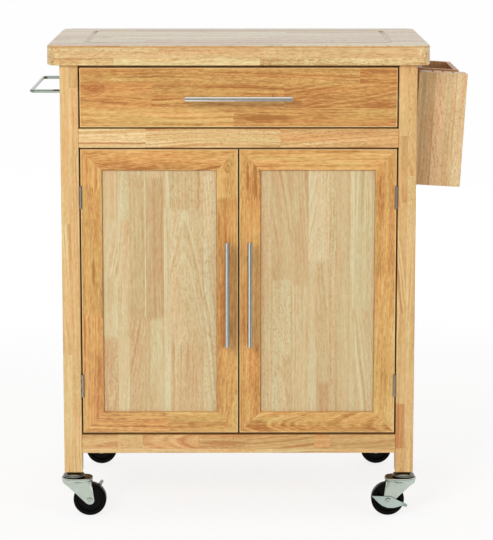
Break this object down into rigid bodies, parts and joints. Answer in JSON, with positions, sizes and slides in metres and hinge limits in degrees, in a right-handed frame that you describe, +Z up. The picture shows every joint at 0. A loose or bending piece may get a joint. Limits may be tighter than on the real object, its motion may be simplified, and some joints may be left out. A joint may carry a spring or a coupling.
{
  "type": "kitchen trolley",
  "caption": "Rubberwood kitchen trolley: thick worktop with juice groove, full-width drawer over framed doors, towel rail, hung knife block with box, swivel casters with brakes.",
  "frame": {"origin": "on the floor below the middle of the whole trolley's box", "axes": "+Z up, the drawer and doors face -Y, +X to the right as seen from the front"},
  "size_m": [0.8286, 0.483, 0.9],
  "materials": {
    "worktop_wood": "lacquered edge-glued rubberwood",
    "frame_wood": "lacquered edge-glued rubberwood",
    "front_wood": "lacquered rubberwood, darker staves",
    "panel_wood": "matt lacquered rubberwood",
    "carcass_wood": "lacquered rubberwood",
    "rack_wood": "lacquered rubberwood",
    "satin_steel": "satin",
    "bright_steel": "plated",
    "runner_steel": "zinc plated sheet",
    "chrome": "polished",
    "zinc": "zinc plated pressed steel",
    "dark_zinc": "dark plated pressed steel",
    "wheel_black": "moulded gloss black",
    "catch_plastic": "moulded"
  },
  "bodies": {
    "cabinet": {"worktop_board": "worktop_wood", "worktop_edging": "worktop_wood", "front_left_leg": "frame_wood", "front_right_leg": "frame_wood", "rear_left_leg": "frame_wood", "rear_right_leg": "frame_wood", "left_side_panel": "carcass_wood", "right_side_panel": "carcass_wood", "back_panel": "carcass_wood", "bottom_panel": "carcass_wood", "inner_battens": "carcass_wood", "shelf": "carcass_wood", "shelf_pins": "bright_steel", "middle_front_rail": "frame_wood", "bottom_front_rail": "frame_wood", "rear_rails_and_stretcher": "frame_wood", "frame_dowels": "carcass_wood", "frame_screws": "bright_steel", "magnet_catch": "catch_plastic", "hinge_leg_leaves": "bright_steel", "hinge_pins": "bright_steel", "towel_rail": "chrome", "rack_wall_cleat": "rack_wood", "runner_channels": "runner_steel", "caster_stems": "dark_zinc", "caster_inserts": "zinc"},
    "drawer": {"drawer_front": "front_wood", "drawer_sides": "carcass_wood", "drawer_back": "carcass_wood", "drawer_bottom": "carcass_wood", "drawer_handle": "satin_steel", "drawer_runners": "runner_steel"},
    "ball_cages": {"runner_ball_cages": "runner_steel"},
    "left_door": {"left_door_hinge_stile": "front_wood", "left_door_closing_stile": "front_wood", "left_door_rails": "front_wood", "left_door_panel": "panel_wood", "left_door_handle": "satin_steel", "left_door_hinge_leaves": "bright_steel", "left_door_fixings": "bright_steel"},
    "right_door": {"right_door_hinge_stile": "front_wood", "right_door_closing_stile": "front_wood", "right_door_rails": "front_wood", "right_door_panel": "panel_wood", "right_door_handle": "satin_steel", "right_door_hinge_leaves": "bright_steel", "right_door_fixings": "bright_steel"},
    "rack": {"knife_block": "rack_wood", "spice_box": "rack_wood", "rack_cleat": "rack_wood"},
    "front_left_swivel": {"front_left_fork": "zinc"},
    "front_left_wheel_set": {"front_left_wheel": "wheel_black"},
    "front_left_brake": {"front_left_brake_lever": "zinc"},
    "front_right_swivel": {"front_right_fork": "zinc"},
    "front_right_wheel_set": {"front_right_wheel": "wheel_black"},
    "front_right_brake": {"front_right_brake_lever": "zinc"},
    "rear_left_swivel": {"rear_left_fork": "zinc"},
    "rear_left_wheel_set": {"rear_left_wheel": "wheel_black"},
    "rear_right_swivel": {"rear_right_fork": "zinc"},
    "rear_right_wheel_set": {"rear_right_wheel": "wheel_black"}
  },
  "joints": [
    {"name": "drawer_slide", "type": "slide", "parent": "cabinet", "child": "drawer", "axis": [0, -1, 0], "range_m": [0, 0.26]},
    {"name": "ball_cage_slide", "type": "slide", "parent": "cabinet", "child": "ball_cages", "axis": [0, -1, 0], "range_m": [0, 0.13]},
    {"name": "left_door_hinge", "type": "hinge", "parent": "cabinet", "child": "left_door", "pos_m": [-0.31503, -0.205, 0.43535], "axis": [0, 0, -1], "range_deg": [0, 165]},
    {"name": "right_door_hinge", "type": "hinge", "parent": "cabinet", "child": "right_door", "pos_m": [0.27497, -0.205, 0.43535], "axis": [0, 0, 1], "range_deg": [0, 165]},
    {"name": "front_left_swivel_turn", "type": "hinge", "parent": "cabinet", "child": "front_left_swivel", "pos_m": [-0.33503, -0.1875, 0.0745], "axis": [0, 0, 1], "continuous": true},
    {"name": "front_left_wheel_spin", "type": "hinge", "parent": "front_left_swivel", "child": "front_left_wheel_set", "pos_m": [-0.30503, -0.1875, 0.0315], "axis": [0, 1, 0], "continuous": true},
    {"name": "front_left_brake_rock", "type": "hinge", "parent": "front_left_swivel", "child": "front_left_brake", "pos_m": [-0.30503, -0.1875, 0.0315], "axis": [0, 1, 0], "range_deg": [0, 37]},
    {"name": "front_right_swivel_turn", "type": "hinge", "parent": "cabinet", "child": "front_right_swivel", "pos_m": [0.29497, -0.1875, 0.0745], "axis": [0, 0, 1], "continuous": true},
    {"name": "front_right_wheel_spin", "type": "hinge", "parent": "front_right_swivel", "child": "front_right_wheel_set", "pos_m": [0.26497, -0.1875, 0.0315], "axis": [0, 1, 0], "continuous": true},
    {"name": "front_right_brake_rock", "type": "hinge", "parent": "front_right_swivel", "child": "front_right_brake", "pos_m": [0.26497, -0.1875, 0.0315], "axis": [0, 1, 0], "range_deg": [0, 37]},
    {"name": "rear_left_swivel_turn", "type": "hinge", "parent": "cabinet", "child": "rear_left_swivel", "pos_m": [-0.33503, 0.2105, 0.0745], "axis": [0, 0, 1], "continuous": true},
    {"name": "rear_left_wheel_spin", "type": "hinge", "parent": "rear_left_swivel", "child": "rear_left_wheel_set", "pos_m": [-0.30503, 0.2105, 0.0315], "axis": [0, 1, 0], "continuous": true},
    {"name": "rear_right_swivel_turn", "type": "hinge", "parent": "cabinet", "child": "rear_right_swivel", "pos_m": [0.29497, 0.2105, 0.0745], "axis": [0, 0, 1], "continuous": true},
    {"name": "rear_right_wheel_spin", "type": "hinge", "parent": "rear_right_swivel", "child": "rear_right_wheel_set", "pos_m": [0.26497, 0.2105, 0.0315], "axis": [0, 1, 0], "continuous": true},
    {"name": "rack_lift_off", "type": "slide", "parent": "cabinet", "child": "rack", "axis": [0.7071, 0, 0.7071], "range_m": [0, 0.25]}
  ],
  "couplings": [
    {"joint": "ball_cage_slide", "follows": "drawer_slide", "ratio": 0.5}
  ]
}
